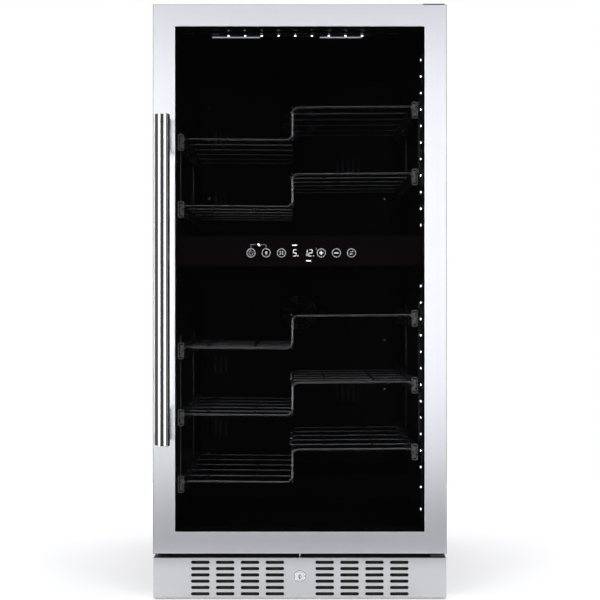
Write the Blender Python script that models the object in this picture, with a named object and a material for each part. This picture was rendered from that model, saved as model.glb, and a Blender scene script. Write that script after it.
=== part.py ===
"""Built-in dual-zone wine cooler: insulated cabinet, glass door, pull-out wire shelves, plinth grille with lock.

Frame: +Z up, +X to the right seen from the front, the door faces -Y. The origin is the middle of the footprint, on the
floor. Helper functions take millimetres; the objects are in metres. All pieces are at rest: door shut, shelves in.
"""
import math

import bmesh
import bpy
from mathutils import Matrix, Vector

for old in list(bpy.data.objects):
    bpy.data.objects.remove(old, do_unlink=True)

# ------------------------------------------------------------------ driving dimensions (mm)
DOOR_W = 595.0          # outside width of the door, for a 600 mm niche
DOOR_Z = (92.0, 1205.0)
WINDOW_W = 505.5
WINDOW_Z = (138.0, 1161.0)
CAB_W = 590.0           # cabinet width
CAB_Y = (-205.75, 317.25)
CAB_Z = (20.0, 1205.0)
DOOR_Y = (-255.75, -213.75)
DOOR_STEEL_BACK = -224.0   # rear edge of the stainless pan of the door
KICK_Z = (3.5, 84.0)
HINGE = (279.0, -235.75)   # x, y of the door's hinge axis
LINER_W = 514.0         # inside width
LINER_BACK = 275.0      # inside back wall
CEILING = 1160.0
FLOOR = 137.0
DIVIDER_Z = (679.0, 739.0)
STEP_Y, STEP_Z = 90.0, 196.0   # the floor's step over the machine compartment
FOAM_BOTTOM, MACHINE_TOP = 95.0, 162.0
HANDLE_X, HANDLE_Y, HANDLE_R = -272.2, -302.5, 14.75
HANDLE_Z = (316.7, 975.3)
LOCK_Z = 47.0
GAP = 0.3
SHELF_LEFT_Z = (226.0, 366.6, 507.2, 805.0, 945.4)   # top of the low half of each shelf
SHELF_STEP = 68.5       # how much higher the right half lies
SHELF_Y = (-177.0, 215.0)
RAIL_H, RAIL_D = 35.0, 12.7
RAIL_DROP = (8.0, 8.0, 8.0, 8.0, 8.0)   # each shelf's rail centre below its wires
RAIL_LEFT_X = -256.4    # wall side of the left rails
RAIL_RIGHT_X = 248.0    # wall side of the right rails, set in so the shelves clear the open door

# ------------------------------------------------------------------ materials
def material(name, color, rough, metal=0.0, alpha=1.0):
    mat = bpy.data.materials.new(name)
    mat.use_nodes = True
    shader = mat.node_tree.nodes["Principled BSDF"]
    shader.inputs["Base Color"].default_value = (*color, 1.0)
    shader.inputs["Roughness"].default_value = rough
    shader.inputs["Metallic"].default_value = metal
    shader.inputs["Alpha"].default_value = alpha
    mat.diffuse_color = (*color, alpha)
    return mat


STEEL = material("brushed_stainless", (0.74, 0.74, 0.76), 0.30, 1.0)
CHROME = material("chromed_steel", (0.80, 0.80, 0.82), 0.12, 1.0)
BLACK_METAL = material("black_painted_steel", (0.03, 0.03, 0.032), 0.45)
BLACK_PLASTIC = material("black_abs", (0.012, 0.012, 0.013), 0.40)
BLACK_GLOSS = material("black_gloss", (0.014, 0.010, 0.010), 0.08)
FOAM = material("pu_foam", (0.80, 0.72, 0.50), 0.9)
RUBBER = material("black_rubber", (0.02, 0.02, 0.02), 0.7)
GLASS = material("tinted_glass", (0.55, 0.58, 0.60), 0.03, 0.0, 0.3)
ZINC = material("zinc_steel", (0.60, 0.61, 0.62), 0.35, 1.0)
ALU = material("aluminium", (0.78, 0.78, 0.79), 0.35, 1.0)
COPPER = material("copper", (0.72, 0.40, 0.26), 0.30, 1.0)
LED = material("led_lens", (0.92, 0.95, 1.0), 0.25)
PCB = material("circuit_board", (0.05, 0.20, 0.10), 0.5)
GREY_PLASTIC = material("grey_plastic", (0.35, 0.35, 0.36), 0.5)


# ------------------------------------------------------------------ shape helpers
def add(name, bm, mat, origin=(0, 0, 0), smooth=False, helper=False):
    """Makes an object from a bmesh in mm, with its origin at `origin` (mm)."""
    bmesh.ops.recalc_face_normals(bm, faces=bm.faces)
    bmesh.ops.translate(bm, vec=-Vector(origin), verts=bm.verts)
    bmesh.ops.scale(bm, vec=(0.001,) * 3, verts=bm.verts)
    mesh = bpy.data.meshes.new(name)
    bm.to_mesh(mesh)
    bm.free()
    obj = bpy.data.objects.new(name, mesh)
    bpy.context.scene.collection.objects.link(obj)
    obj.location = Vector(origin) * 0.001
    if mat:
        mesh.materials.append(mat)
    if smooth:
        mesh.shade_smooth()
        mesh.set_sharp_from_angle(angle=math.radians(35))
    if helper:
        obj.hide_render = True
        obj.display_type = "WIRE"
    return obj


def put_box(bm, x, y, z):
    made = bmesh.ops.create_cube(bm, size=1.0)["verts"]
    for v in made:
        v.co = Vector((x[0] if v.co.x < 0 else x[1], y[0] if v.co.y < 0 else y[1], z[0] if v.co.z < 0 else z[1]))
    return made


def put_cylinder(bm, centre, radius, length, axis="Z", segments=16, radius2=None):
    """A closed cylinder or cone whose middle is at `centre`."""
    turn = {"Z": Matrix(), "X": Matrix.Rotation(math.pi / 2, 4, "Y"), "Y": Matrix.Rotation(-math.pi / 2, 4, "X")}[axis]
    made = bmesh.ops.create_cone(
        bm, cap_ends=True, cap_tris=False, segments=segments, radius1=radius,
        radius2=radius if radius2 is None else radius2, depth=length, matrix=Matrix.Translation(centre) @ turn,
    )["verts"]
    return made


def put_slot(bm, x, z, width, height, y, segments=5):
    """An obround bar along Y, `width` wide and `height` high in the XZ plane."""
    r = height / 2
    outline = []
    for side, start in ((1, -90), (-1, 90)):
        for i in range(segments + 1):
            a = math.radians(start + 180 * i / segments)
            outline.append((x + side * (width / 2 - r) + r * math.cos(a), z + r * math.sin(a)))
    front = [bm.verts.new((px, y[0], pz)) for px, pz in outline]
    back = [bm.verts.new((px, y[1], pz)) for px, pz in outline]
    bm.faces.new(front)
    bm.faces.new(back[::-1])
    n = len(outline)
    for i in range(n):
        bm.faces.new((front[i], back[i], back[(i + 1) % n], front[(i + 1) % n]))


def boxes(name, spans, mat=None, origin=(0, 0, 0), helper=False):
    bm = bmesh.new()
    for span in spans:
        put_box(bm, *span)
    return add(name, bm, mat, origin, helper=helper)


def prism_z(name, outline, z, mat, origin=(0, 0, 0), helper=False):
    """Extrudes a closed XY outline from z[0] to z[1]."""
    bm = bmesh.new()
    face = bm.faces.new([bm.verts.new((x, y, z[0])) for x, y in outline])
    top = bmesh.ops.extrude_face_region(bm, geom=[face])["geom"]
    bmesh.ops.translate(bm, vec=(0, 0, z[1] - z[0]), verts=[g for g in top if isinstance(g, bmesh.types.BMVert)])
    return add(name, bm, mat, origin, helper=helper)


def lathe(name, profile, centre, mat, axis="Z", segments=20, origin=None, helper=False):
    """Turns (radius, along) points, listed so that the first and last lie on the axis, round `axis` through centre."""
    bm = bmesh.new()
    rings = []
    for r, h in profile:
        if r == 0:
            rings.append([bm.verts.new((0, 0, h))])
        else:
            rings.append([
                bm.verts.new((r * math.cos(2 * math.pi * i / segments), r * math.sin(2 * math.pi * i / segments), h))
                for i in range(segments)
            ])
    for a, b in zip(rings, rings[1:]):
        for i in range(segments):
            j = (i + 1) % segments
            if len(a) == 1:
                bm.faces.new((a[0], b[i], b[j]))
            elif len(b) == 1:
                bm.faces.new((a[i], b[0], a[j]))
            else:
                bm.faces.new((a[i], b[i], b[j], a[j]))
    turn = {"Z": Matrix(), "X": Matrix.Rotation(math.pi / 2, 4, "Y"), "Y": Matrix.Rotation(-math.pi / 2, 4, "X")}[axis]
    bmesh.ops.transform(bm, matrix=Matrix.Translation(centre) @ turn, verts=bm.verts)
    return add(name, bm, mat, origin or centre, smooth=True, helper=helper)


def boolean(obj, other, operation="DIFFERENCE"):
    modifier = obj.modifiers.new(other.name, "BOOLEAN")
    modifier.operation = operation
    modifier.solver = "EXACT"
    modifier.object = other
    other.hide_render = True
    other.display_type = "WIRE"
    return obj


def cut(obj, *spans):
    return boolean(obj, boxes(obj.name + "_cut%d" % len(obj.modifiers), spans, helper=True))


def join(obj, *spans):
    return boolean(obj, boxes(obj.name + "_add%d" % len(obj.modifiers), spans, helper=True), "UNION")


def drill(obj, *holes):
    """Each hole is (centre, radius, length, axis)."""
    bm = bmesh.new()
    for centre, radius, length, axis in holes:
        put_cylinder(bm, centre, radius, length, axis, 16)
    return boolean(obj, add(obj.name + "_drill%d" % len(obj.modifiers), bm, None, helper=True))


def fuse(obj, *bars):
    """Joins cylinders, each (centre, radius, length, axis, segments)."""
    bm = bmesh.new()
    for centre, radius, length, axis, segments in bars:
        put_cylinder(bm, centre, radius, length, axis, segments)
    return boolean(obj, add(obj.name + "_fuse%d" % len(obj.modifiers), bm, None, helper=True), "UNION")


# ------------------------------------------------------------------ cabinet shell
HALF = CAB_W / 2
SKIN = 1.5
for side, name in ((-1, "left_side_panel"), (1, "right_side_panel")):
    outer, inner, lip, rear = side * HALF, side * (HALF - SKIN), side * (HALF - 14), side * (HALF - 12)
    prism_z(name, [
        (outer, CAB_Y[0]), (outer, CAB_Y[1]), (rear, CAB_Y[1]), (rear, CAB_Y[1] - SKIN), (inner, CAB_Y[1] - SKIN),
        (inner, CAB_Y[0] + SKIN), (lip, CAB_Y[0] + SKIN), (lip, CAB_Y[0]),
    ], (CAB_Z[0], CAB_Z[1] - SKIN - GAP), BLACK_METAL)

top = boxes("top_panel", [((-HALF, HALF), CAB_Y, (CAB_Z[1] - SKIN, CAB_Z[1]))], BLACK_METAL)
join(top, ((-HALF + 14.5, HALF - 14.5), (CAB_Y[0], CAB_Y[0] + SKIN), (CAB_Z[1] - 16, CAB_Z[1] - SKIN + 0.5)))

boxes("back_panel", [((-HALF + 12.3, HALF - 12.3), (CAB_Y[1] - SKIN, CAB_Y[1]), (MACHINE_TOP + 3, CAB_Z[1] - SKIN - GAP))], ZINC)

# The base carries the machine compartment, with turned-up edges and four holes for the levelling studs.
base = boxes("base_pan", [((-HALF + 2, HALF - 2), (CAB_Y[0] + 2, CAB_Y[1] - 2), (CAB_Z[0], CAB_Z[0] + 2))], ZINC)
join(base, ((-HALF + 2, HALF - 2), (CAB_Y[0] + 2, CAB_Y[0] + 4), (CAB_Z[0] + 0.5, 62)),
     ((-HALF + 2, HALF - 2), (108, 110), (CAB_Z[0] + 0.5, 60)))
FEET = {"front_left": (-245, -165), "front_right": (245, -165), "rear_left": (-245, 275), "rear_right": (245, 275)}
drill(base, *[((x, y, CAB_Z[0] + 1), 5.5, 8, "Z") for x, y in FEET.values()])
cut(base, *[((x, x + 44), (CAB_Y[0], CAB_Y[0] + 6), (30, 52)) for x in (-250, -190, -130, -70, 26, 86, 146, 206)])
for name, (x, y) in FEET.items():
    lathe("levelling_foot_" + name, [(0, 0), (20, 0), (22, 2), (22, 6), (12, 10), (4.5, 10.5), (4.5, 44), (0, 44)],
          (x, y, 0), BLACK_PLASTIC, segments=16)

# Foam between the shell and the liners, with the step for the machine compartment.
foam = boxes("insulation_foam", [((-HALF + 2, HALF - 2), (CAB_Y[0] + 2.2, CAB_Y[1] - 1.9), (FOAM_BOTTOM, CAB_Z[1] - 2))], FOAM)
cut(foam, ((-LINER_W / 2 - 2.4, LINER_W / 2 + 2.4), (CAB_Y[0] - 5, LINER_BACK + 2.4), (FLOOR - 2.4, CEILING + 2.4)))
join(foam, ((-LINER_W / 2 - 3, LINER_W / 2 + 3), (STEP_Y + 2.4, LINER_BACK + 3), (FLOOR - 3, STEP_Z - 2.4)))
cut(foam, ((-HALF - 5, HALF + 5), (110.3, CAB_Y[1] + 5), (FOAM_BOTTOM - 5, MACHINE_TOP)))
cut(foam, ((-HALF + 14.8, HALF - 14.8), (CAB_Y[0], CAB_Y[0] + 3), (CAB_Z[1] - 17, CAB_Z[1])))

# Liners: moulded trays open to the front, each with a flange that laps the foam.
W2 = LINER_W / 2
upper = boxes("liner_upper", [((-W2 - 2, W2 + 2), (CAB_Y[0] + 2, LINER_BACK + 2), (DIVIDER_Z[1], CEILING + 2))], BLACK_PLASTIC)
join(upper, ((-280, 280), (CAB_Y[0], CAB_Y[0] + 2.1), (DIVIDER_Z[1], 1188)))
cut(upper, ((-W2, W2), (CAB_Y[0] - 5, LINER_BACK), (DIVIDER_Z[1] + 2, CEILING)))
lower = boxes("liner_lower", [((-W2 - 2, W2 + 2), (CAB_Y[0] + 2, LINER_BACK + 2), (FLOOR - 2, DIVIDER_Z[0]))], BLACK_PLASTIC)
join(lower, ((-280, 280), (CAB_Y[0], CAB_Y[0] + 2.1), (FOAM_BOTTOM + 2, DIVIDER_Z[0])))
cut(lower, ((-W2, W2), (CAB_Y[0] - 5, LINER_BACK), (FLOOR, DIVIDER_Z[0] - 2)))
join(lower, ((-W2 - 1, W2 + 1), (STEP_Y, STEP_Y + 2), (FLOOR - 1, STEP_Z)),
     ((-W2 - 1, W2 + 1), (STEP_Y + 4, LINER_BACK + 1), (STEP_Z - 2, STEP_Z - 0.01)))
join(lower, ((-W2 - 1, W2 + 1), (STEP_Y + 1, STEP_Y + 6), (STEP_Z - 2, STEP_Z - 0.02)))
cut(lower, ((-W2 - 5, W2 + 5), (STEP_Y + 2, LINER_BACK + 5), (FLOOR - 5, STEP_Z - 2)))

# ------------------------------------------------------------------ divider with the touch controls
divider = boxes("divider_beam", [((-W2 - 2, W2 + 2), (-194, LINER_BACK + 2), (DIVIDER_Z[0] + GAP, DIVIDER_Z[1] - GAP))], BLACK_PLASTIC)
cut(divider, ((-W2 - 5, W2 + 5), (-200, -180), (DIVIDER_Z[0] + 10, DIVIDER_Z[1] - 10)))
boxes("control_board", [((-140, 140), (-193, -191), (DIVIDER_Z[0] + 12, DIVIDER_Z[1] - 12))], PCB)
boxes("control_glass", [((-W2 + 1, W2 - 1), (-197.3, -194.3), (DIVIDER_Z[0] + 0.5, DIVIDER_Z[1] - 0.5))], BLACK_GLOSS)

# ------------------------------------------------------------------ LED bars
boxes("led_bar_top", [((-168, 148), (-197, -187), (CEILING - 4, CEILING - GAP))], LED)
boxes("led_bar_right_upper", [((W2 - 4, W2 - GAP), (-197, -187), (750, 1120))], LED)
boxes("led_bar_right_lower", [((W2 - 4, W2 - GAP), (-197, -187), (160, 650))], LED)

# ------------------------------------------------------------------ air ducts, evaporators and their fans
def fan_rotor(name, centre, axis, radius, depth, shaft, blades=5):
    """A hub with twisted blades; the origin is on the axle."""
    rotor = lathe(name, [(0, -depth / 2), (radius * 0.3, -depth / 2), (radius * 0.36, -depth / 3), (radius * 0.36, depth / 2), (3, depth / 2), (3, depth / 2 + shaft), (0, depth / 2 + shaft)],
                  centre, GREY_PLASTIC, axis, 12)
    bm = bmesh.new()
    for k in range(blades):
        turn = Matrix.Rotation(2 * math.pi * k / blades, 4, "Z") @ Matrix.Translation((radius * 0.66, 0, 0)) @ Matrix.Rotation(math.radians(32), 4, "X")
        made = bmesh.ops.create_cube(bm, size=1.0)["verts"]
        bmesh.ops.scale(bm, vec=(radius * 0.68, radius * 0.62, 1.6), verts=made)
        bmesh.ops.transform(bm, matrix=turn, verts=made)
    spin = {"Z": Matrix(), "X": Matrix.Rotation(math.pi / 2, 4, "Y"), "Y": Matrix.Rotation(-math.pi / 2, 4, "X")}[axis]
    bmesh.ops.transform(bm, matrix=Matrix.Translation(centre) @ spin, verts=bm.verts)
    return boolean(rotor, add(name + "_blades", bm, None, helper=True), "UNION")


SLOTS = {"upper": ((-238, 990), (-238, 835), (91, 915)), "lower": ((-238, 427), (-238, 268), (91, 355))}
for zone, z, fan_z in (("upper", (775.0, 1130.0), 1055.0), ("lower", (STEP_Z + 4, 655.0), 575.0)):
    cover = boxes("duct_cover_" + zone, [((-244, 228), (232, LINER_BACK - GAP), z)], BLACK_PLASTIC)
    cut(cover, ((-241.5, 225.5), (234.5, LINER_BACK + 5), (z[0] + 2.5, z[1] - 2.5)))
    drill(cover, ((0, 232, fan_z), 44, 20, "Y"))
    cut(cover, *[((x + 13 * k, x + 13 * k + 5), (225, 240), (zz, zz + 40)) for x, zz in SLOTS[zone] for k in range(5)])
    fan_rotor("evaporator_fan_" + zone, (0, 241.5, fan_z), "Y", 40, 11, 3.4)
    housing = boxes("fan_housing_" + zone, [((-52, 52), (250, 262), (fan_z - 52, fan_z + 52))], BLACK_PLASTIC)
    drill(housing, ((0, 256, fan_z), 43, 30, "Y"))
    join(housing, ((-45, 45), (256, 260), (fan_z - 4, fan_z + 4)), )
    join(housing, ((-4, 4), (256.5, 259.5), (fan_z - 45, fan_z + 45)))
    fuse(housing, ((0, 255.5, fan_z), 15, 9.5, "Y", 12))
    coil = boxes("evaporator_" + zone, [((-215, 215), (266, LINER_BACK - 1), (z[0] + 8, z[1] - 8))], ALU)
    rows = [zz for zz in range(int(z[0]) + 40, int(z[1]) - 40, 60)]
    cut(coil, *[((-200, 200), (264, 269), (zz, zz + 26)) for zz in rows])

# ------------------------------------------------------------------ shelf rails fixed to the liner walls
def rail_channels(name, side, heights, uprights):
    """C-section rails, opening towards the shelf, on two uprights each side."""
    x_wall = side * (W2 - GAP)
    if side < 0:
        x0, x1 = RAIL_LEFT_X, RAIL_LEFT_X + RAIL_D
    else:
        x0, x1 = RAIL_RIGHT_X - RAIL_D, RAIL_RIGHT_X
    web = (x0, x0 + 1.5) if side < 0 else (x1 - 1.5, x1)
    spans = [(web, (-172, 205), (z - RAIL_H / 2, z + RAIL_H / 2)) for z in heights]
    body = boxes(name, spans, ZINC)
    join(body, *[((x0, x1), (-172.5, 205.5), (z - RAIL_H / 2, z - RAIL_H / 2 + 1.5)) for z in heights],
         *[((x0, x1), (-172.5, 205.5), (z + RAIL_H / 2 - 1.5, z + RAIL_H / 2)) for z in heights])
    posts = []
    for y in uprights:
        posts.append(((x_wall, x_wall - side * 1.6) if side > 0 else (x_wall, x_wall + 1.6), (y, y + 22), (heights[0] - 19, heights[-1] + 30)))
    posts = [((min(a), max(a)), b, c) for a, b, c in posts]
    if side < 0:
        join(body, *posts)
    else:
        arms = [((x1 - 1, x_wall - 0.8), (y + 4, y + 18), (z - 8, z + 8)) for y in uprights for z in heights]
        join(body, *posts)
        join(body, *arms)
    return body


LOW = [z - drop for z, drop in zip(SHELF_LEFT_Z, RAIL_DROP)]
HIGH = [z + SHELF_STEP for z in LOW]
rail_channels("left_rails_lower", -1, LOW[:3], (-130, 150))
rail_channels("left_rails_upper", -1, LOW[3:], (-130, 150))
rail_channels("right_rails_lower", 1, HIGH[:3], (-130, 150))
rail_channels("right_rails_upper", 1, HIGH[3:], (-130, 150))

# ------------------------------------------------------------------ pull-out wire shelves, the right half a step higher
WIRE = 5.0
X_LEFT = (RAIL_LEFT_X + 3.2, RAIL_LEFT_X + 16.5)       # left runner
X_RIGHT = (RAIL_RIGHT_X - 16.5, RAIL_RIGHT_X - 3.2)    # right runner
X_MID = -15.5                                          # the riser
for number, (z, drop) in enumerate(zip(SHELF_LEFT_Z, RAIL_DROP), 1):
    low, high = z, z + SHELF_STEP
    shelf = boxes("shelf_%d" % number, [
        (X_LEFT, (SHELF_Y[0] + 4, SHELF_Y[1] - 12), (low - drop - 13, low - drop + 13)),
        (X_RIGHT, (SHELF_Y[0] + 4, SHELF_Y[1] - 12), (high - drop - 13, high - drop + 13)),
        ((X_MID - WIRE / 2, X_MID + WIRE / 2), SHELF_Y, (low - WIRE, low)),
        ((X_MID - WIRE / 2, X_MID + WIRE / 2), SHELF_Y, (high - WIRE, high)),
    ], CHROME)
    rows = [SHELF_Y[0] + 2 + (SHELF_Y[1] - SHELF_Y[0] - 4 - WIRE) * i / 5 for i in range(6)]
    join(shelf, *[((X_LEFT[1] - 3, X_MID + 0.5), (y, y + WIRE), (low - WIRE + 0.6, low - 0.6)) for y in rows],
         *[((X_MID - 0.5, X_RIGHT[0] + 3), (y, y + WIRE), (high - WIRE + 0.6, high - 0.6)) for y in rows])
    posts = [SHELF_Y[0] + 22 + (SHELF_Y[1] - SHELF_Y[0] - 48) * i / 7 for i in range(8)]
    join(shelf, *[((X_MID - WIRE / 2 + 0.6, X_MID + WIRE / 2 - 0.6), (y, y + 4), (low - 2, high - WIRE + 2)) for y in posts])

# ------------------------------------------------------------------ plinth grille with the lock
kick = prism_z("kick_plate", [
    (-297, -255.75), (297, -255.75), (297, -206.1), (295.5, -206.1), (295.5, -254.25), (-295.5, -254.25), (-295.5, -206.1), (-297, -206.1),
], KICK_Z, STEEL)
join(kick, ((-296, 296), (-255, -232), (KICK_Z[1] - 1.5, KICK_Z[1] - 0.1)))
bm = bmesh.new()
for row in range(6):
    for column in range(4):
        for side in (-1, 1):
            put_slot(bm, side * (50.5 + 50.3 * column), 75.0 - 12.74 * row, 37.7, 6.4, (-262, -250), 3)
boolean(kick, add("kick_plate_slots", bm, None, helper=True))
drill(kick, ((0, -255, LOCK_Z), 10.2, 12, "Y"), ((0, -243, KICK_Z[1]), 4.0, 8, "Z"))

lock = lathe("lock_housing", [(0, -26), (10, -26), (10, 0.3), (11, 0.3), (11, 1.3), (9.3, 1.7), (9.3, -22), (0, -22)],
             (0, -255.75, LOCK_Z), CHROME, "Y", 20)
lock.rotation_euler = (0, 0, math.pi)
plug = lathe("lock_cylinder", [(0, -21.5), (8.9, -21.5), (8.9, 1.0), (8.2, 1.4), (0, 1.4)], (0, -255.75, LOCK_Z), ZINC, "Y", 20)
plug.rotation_euler = (0, 0, math.pi)
cut(plug, ((-1.0, 1.0), (-260, -250.75), (LOCK_Z - 6, LOCK_Z + 6)))
cut(lock, ((-4, 4), (-247, -239), (LOCK_Z - 1, LOCK_Z + 14)))
bolt = boxes("lock_bolt", [((-2.8, 2.8), (-245.8, -240.2), (58.5, 74))], ZINC)
fuse(bolt, ((0, -243, 81.5), 2.25, 17, "Z", 12))

# ------------------------------------------------------------------ hinges
top_hinge = boxes("top_hinge", [((250, 294), (-250, -165), (CAB_Z[1] + GAP, 1208))], BLACK_METAL)
fuse(top_hinge, ((HINGE[0], HINGE[1], 1200.8), 4, 12, "Z", 12))
bottom_hinge = boxes("bottom_hinge", [((265, 294.5), (-252, -206.05), (86, 89))], BLACK_METAL)
join(bottom_hinge, ((281, 294.5), (-208.55, -206.05), (86.5, 130)))
fuse(bottom_hinge, ((HINGE[0], HINGE[1], 95.5), 4, 14, "Z", 12))

# ------------------------------------------------------------------ door
HINGE_POINT = (HINGE[0], HINGE[1], 0)
D2 = DOOR_W / 2
frame = boxes("door_frame", [((-D2, D2), (DOOR_Y[0], DOOR_STEEL_BACK), DOOR_Z)], STEEL, HINGE_POINT)
cut(frame, ((-D2 + 1.5, D2 - 1.5), (DOOR_Y[0] + 2, 0), (DOOR_Z[0] + 1.5, DOOR_Z[1] - 1.5)))
cut(frame, ((-WINDOW_W / 2, WINDOW_W / 2), (DOOR_Y[0] - 5, 0), WINDOW_Z))
drill(frame, ((HINGE[0], HINGE[1], DOOR_Z[0]), 4.6, 12, "Z"), ((HINGE[0], HINGE[1], DOOR_Z[1]), 4.6, 12, "Z"))
cut(frame, ((-3.4, 3.4), (-246.4, -239.6), (DOOR_Z[0] - 5, DOOR_Z[0] + 5)))

inner = boxes("door_inner_frame", [((-D2 + 1.8, D2 - 1.8), (DOOR_Y[0] + 2.3, DOOR_STEEL_BACK - GAP), (DOOR_Z[0] + 1.8, DOOR_Z[1] - 1.8))], BLACK_PLASTIC, HINGE_POINT)
join(inner, ((-289, 289), (DOOR_STEEL_BACK - 1, DOOR_Y[1]), (DOOR_Z[0] + 8, DOOR_Z[1] - 8)))
cut(inner, ((-WINDOW_W / 2, WINDOW_W / 2), (DOOR_Y[0] - 5, 0), WINDOW_Z))
cut(inner, ((-268.3, 268.3), (DOOR_Y[0] - 5, -232.8), (WINDOW_Z[0] - 15.3, WINDOW_Z[1] + 15.3)))
drill(inner, ((HINGE[0], HINGE[1], DOOR_Z[0] + 6), 4.6, 20, "Z"), ((HINGE[0], HINGE[1], DOOR_Z[1] - 6), 4.6, 20, "Z"))
cut(inner, ((-3.4, 3.4), (-246.4, -239.6), (DOOR_Z[0] - 5, DOOR_Z[0] + 14)))

GLASS_X, GLASS_Z = (-268, 268), (WINDOW_Z[0] - 15, WINDOW_Z[1] + 15)
boxes("outer_glass", [(GLASS_X, (-253.45, -249.45), GLASS_Z)], GLASS, HINGE_POINT)
boxes("inner_glass", [(GLASS_X, (-237.1, -233.1), GLASS_Z)], GLASS, HINGE_POINT)
spacer = boxes("glass_spacer", [((-266, 266), (-249.15, -237.4), (GLASS_Z[0] + 2, GLASS_Z[1] - 2))], ALU, HINGE_POINT)
cut(spacer, ((-254, 254), (-255, -230), (WINDOW_Z[0] - 1.5, WINDOW_Z[1] + 1.5)))
gasket = boxes("door_gasket", [((-277, 277), (DOOR_Y[1] + GAP, CAB_Y[0] - GAP), (112, 1185))], RUBBER, HINGE_POINT)
cut(gasket, ((-261, 261), (-230, -200), (128, 1169)))

lathe("handle_bar", [(0, -329.3), (HANDLE_R - 2.5, -329.3), (HANDLE_R, -326.8), (HANDLE_R, 326.8), (HANDLE_R - 2.5, 329.3), (0, 329.3)],
      (HANDLE_X, HANDLE_Y, sum(HANDLE_Z) / 2), STEEL, "Z", 32, (HANDLE_X, HANDLE_Y, sum(HANDLE_Z) / 2))
for name, z in (("handle_foot_lower", (322.8, 392.0)), ("handle_foot_upper", (902.8, 972.8))):
    foot = boxes(name, [((HANDLE_X - 14.2, HANDLE_X + 14.2), (-298, DOOR_Y[0] - GAP), z)], STEEL, HINGE_POINT)
    drill(foot, ((HANDLE_X, HANDLE_Y, sum(z) / 2), HANDLE_R + GAP, 90, "Z"))

# ------------------------------------------------------------------ machine compartment
can = lathe("compressor", [
    (0, 146), (30, 145), (52, 138), (64, 126), (66, 112), (66, 58), (64, 47), (70, 42), (70, 36), (0, 36),
], (150, 215, 0), BLACK_METAL, "Z", 20)
join(can, ((72, 228), (150, 172), (33, 36.5)), ((72, 228), (258, 280), (33, 36.5)))
fuse(can, *[((x, y, 29), 9, 12, "Z", 10) for x in (84, 216) for y in (161, 269)])

condenser = boxes("condenser", [((-235, -95), (205, 300), (30, 150))], ALU)
cut(condenser, *[((-240, -90), (200, 296), (zz, zz + 4.5)) for zz in range(36, 145, 9)])
shroud = boxes("fan_shroud", [((-90, -62), (205, 300), (24, 158))], BLACK_PLASTIC)
cut(shroud, ((-95, -66), (209, 296), (28, 154)))
drill(shroud, ((-64, 252.5, 91), 41, 20, "X"))
join(shroud, ((-66, -62.5), (205.5, 299.5), (88, 94)))
fuse(shroud, ((-66, 252.5, 91), 14, 7, "X", 12))
fan_rotor("condenser_fan", (-78, 252.5, 91), "X", 38, 12, 2.2)
tray = boxes("drain_tray", [((92, 208), (165, 265), (148.5, 160.5))], BLACK_PLASTIC)
cut(tray, ((94, 206), (167, 263), (150.5, 170)))
power_board = boxes("power_board", [((236, 290), (130, 200), (26, 140))], GREY_PLASTIC)
cut(power_board, ((238, 288), (132, 205), (28, 138)))
join(power_board, ((237, 241), (150, 180), (40, 130)))

# Suction line: from the compressor shell up over the fan to the condenser's header.
curve = bpy.data.curves.new("refrigerant_pipe", "CURVE")
curve.dimensions = "3D"
curve.bevel_depth = 0.004
curve.bevel_resolution = 1
curve.use_fill_caps = True
spline = curve.splines.new("POLY")
route = [(78.0, 215, 100), (66, 215, 100), (52, 214, 104), (42, 211, 116), (38, 206, 132), (33, 196, 142), (20, 189, 146), (0, 186, 146),
         (-60, 186, 146), (-120, 186, 146), (-146, 187, 143), (-157, 189, 134), (-162, 192, 123), (-164, 196, 116), (-164, 200, 114), (-164, 204.5, 114)]
spline.points.add(len(route) - 1)
for point, (x, y, z) in zip(spline.points, route):
    point.co = (x * 0.001, y * 0.001, z * 0.001, 1)
pipe = bpy.data.objects.new("refrigerant_pipe", curve)
curve.materials.append(COPPER)
bpy.context.scene.collection.objects.link(pipe)

# Rear cover of the machine compartment, with louvres, and the mains inlet.
rear = boxes("rear_grille", [((-HALF + 12.3, HALF - 12.3), (CAB_Y[1] - SKIN, CAB_Y[1]), (24, MACHINE_TOP + 2.5))], ZINC)
cut(rear, *[((x, x + 60), (CAB_Y[1] - 5, CAB_Y[1] + 5), (zz, zz + 6)) for x in (-250, -175, -100, -25, 50, 125) for zz in (46, 68, 90, 112, 134)])
cut(rear, ((222, 252), (CAB_Y[1] - 5, CAB_Y[1] + 5), (50, 78)))
inlet = boxes("power_inlet", [((222.3, 251.7), (294, CAB_Y[1] - 0.1), (50.3, 77.7))], BLACK_PLASTIC)
cut(inlet, ((225, 249), (300, CAB_Y[1] + 5), (54, 74)))
join(inlet, ((230, 232), (299, 306), (60, 66)), ((236, 238), (299, 306), (64, 70)), ((242, 244), (299, 306), (60, 66)))
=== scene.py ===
"""Looks of the wine cooler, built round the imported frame. Positions are in millimetres in the helpers, metres in Blender."""
import math

import bmesh
import bpy
from mathutils import Matrix, Vector


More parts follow.
